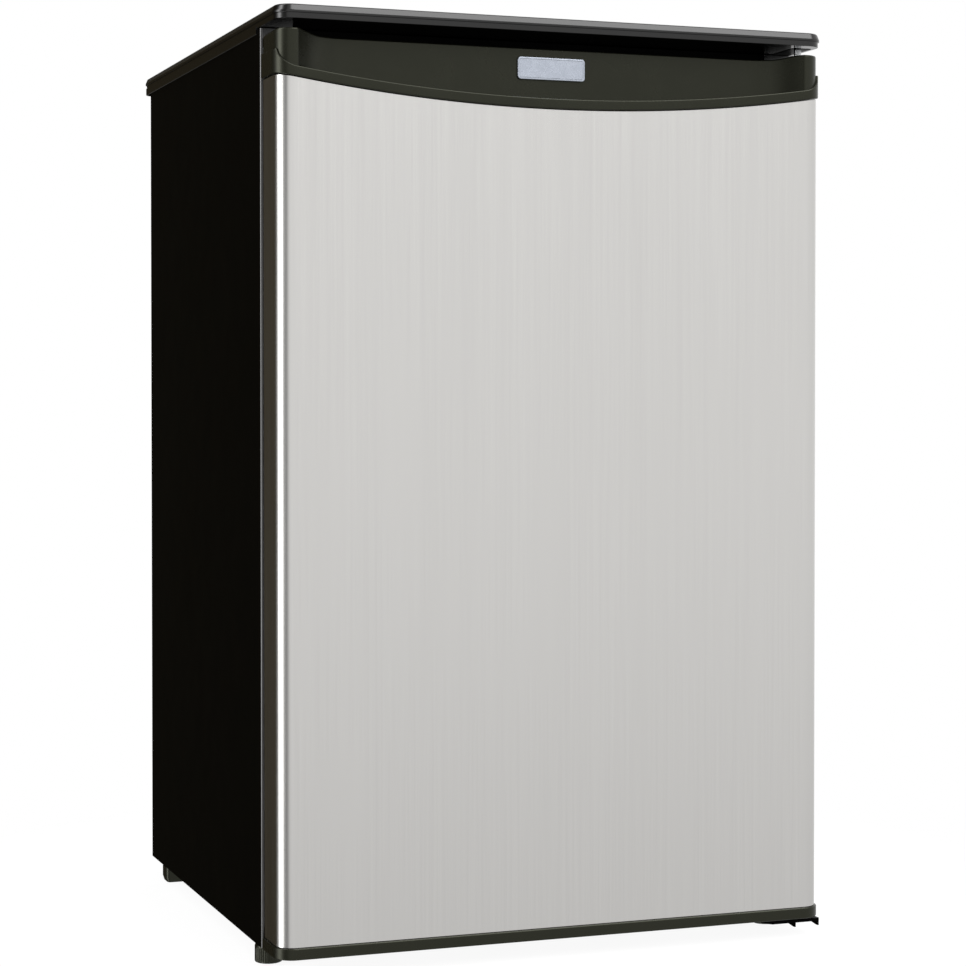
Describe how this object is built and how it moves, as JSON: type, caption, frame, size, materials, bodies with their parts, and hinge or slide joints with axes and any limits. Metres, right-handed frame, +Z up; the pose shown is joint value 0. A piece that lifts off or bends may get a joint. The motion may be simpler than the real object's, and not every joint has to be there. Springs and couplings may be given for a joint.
{
  "type": "compact refrigerator",
  "caption": "Compact upright refrigerator with a hinged brushed-steel door, recessed top handle, glass shelves, a crisper drawer, door bins and a rear compressor bay.",
  "frame": {"origin": "middle of the base, on the floor", "axes": "+Z up, -Y towards the front of the door, +X to the viewer's right, where the hinge is"},
  "size_m": [0.525, 0.54, 0.84],
  "materials": {
    "gloss_black_plastic": "gloss",
    "satin_black_plastic": "satin",
    "black_paint": "gloss",
    "brushed_steel": "satin",
    "zinc": "satin",
    "copper": "satin",
    "black_rubber": "matte",
    "gasket_rubber": "matte",
    "foam": "matte",
    "white_liner": "satin",
    "white_plastic": "satin",
    "clear_plastic": "gloss",
    "shelf_glass": "polished",
    "lamp_glass": "polished",
    "badge_metal": "satin",
    "bare_aluminium": "satin",
    "compressor_paint": "satin"
  },
  "bodies": {
    "cabinet": {"side_panel_left": "black_paint", "side_panel_right": "black_paint", "top_panel": "black_paint", "back_panel": "black_paint", "base_panel": "black_paint", "insulation": "foam", "inner_liner": "white_liner", "top_cover": "gloss_black_plastic", "rear_foot_left": "satin_black_plastic", "rear_foot_right": "satin_black_plastic", "upper_hinge": "zinc", "lower_hinge": "black_paint", "lower_hinge_screw_1": "zinc", "lower_hinge_screw_2": "zinc", "upper_hinge_screw_1": "zinc", "upper_hinge_screw_2": "zinc", "glass_shelf_upper": "shelf_glass", "glass_shelf_lower": "shelf_glass", "shelf_strip_upper": "white_plastic", "shelf_strip_lower": "white_plastic", "crisper_cover": "shelf_glass", "crisper_cover_strip": "white_plastic", "thermostat_housing": "white_plastic", "lamp": "lamp_glass", "lamp_cover": "clear_plastic", "evaporator_plate": "bare_aluminium", "compressor": "compressor_paint", "compressor_mount": "black_paint", "cable_gland": "black_rubber", "grommet_1": "black_rubber", "grommet_2": "black_rubber", "grommet_3": "black_rubber", "grommet_4": "black_rubber", "terminal_cover": "satin_black_plastic", "drip_tray": "satin_black_plastic", "drain_tube": "white_plastic", "discharge_tube": "copper", "suction_tube": "copper", "condenser_tube": "black_paint", "condenser_wires": "black_paint", "condenser_spacer_left": "black_paint", "condenser_spacer_right": "black_paint", "filter_drier": "copper"},
    "door": {"door_skin": "brushed_steel", "door_top_cap": "satin_black_plastic", "door_bottom_cap": "satin_black_plastic", "door_foam": "foam", "door_liner": "white_liner", "door_gasket": "gasket_rubber", "door_bin_upper": "clear_plastic", "door_bin_middle": "clear_plastic", "bottle_bin": "clear_plastic", "badge": "badge_metal", "upper_bushing": "white_plastic", "lower_bushing": "white_plastic"},
    "crisper": {"crisper_drawer": "clear_plastic"},
    "knob": {"thermostat_knob": "white_plastic"},
    "plunger": {"switch_plunger": "white_plastic"},
    "foot_left": {"front_foot_left": "satin_black_plastic"},
    "foot_right": {"front_foot_right": "satin_black_plastic"}
  },
  "joints": [
    {"name": "door_hinge", "type": "hinge", "parent": "cabinet", "child": "door", "pos_m": [0.2475, -0.243, 0.42], "axis": [0, 0, 1], "range_deg": [0, 120]},
    {"name": "crisper_slide", "type": "slide", "parent": "cabinet", "child": "crisper", "axis": [0, -1, 0], "range_m": [0, 0.2]},
    {"name": "switch_travel", "type": "slide", "parent": "cabinet", "child": "plunger", "axis": [0, -1, 0], "range_m": [0, 0.004]},
    {"name": "thermostat_turn", "type": "hinge", "parent": "cabinet", "child": "knob", "pos_m": [0.19, -0.112, 0.739], "axis": [1, 0, 0], "range_deg": [0, 270]},
    {"name": "foot_left_turn", "type": "hinge", "parent": "cabinet", "child": "foot_left", "pos_m": [-0.249, -0.188, 0], "axis": [0, 0, 1], "continuous": true},
    {"name": "foot_right_turn", "type": "hinge", "parent": "cabinet", "child": "foot_right", "pos_m": [0.2385, -0.195, 0], "axis": [0, 0, 1], "continuous": true}
  ],
  "couplings": [
    {"joint": "crisper_slide", "follows": "door_hinge", "m_per_rad": 0.0954},
    {"joint": "switch_travel", "follows": "door_hinge", "m_per_rad": 0.0019}
  ]
}
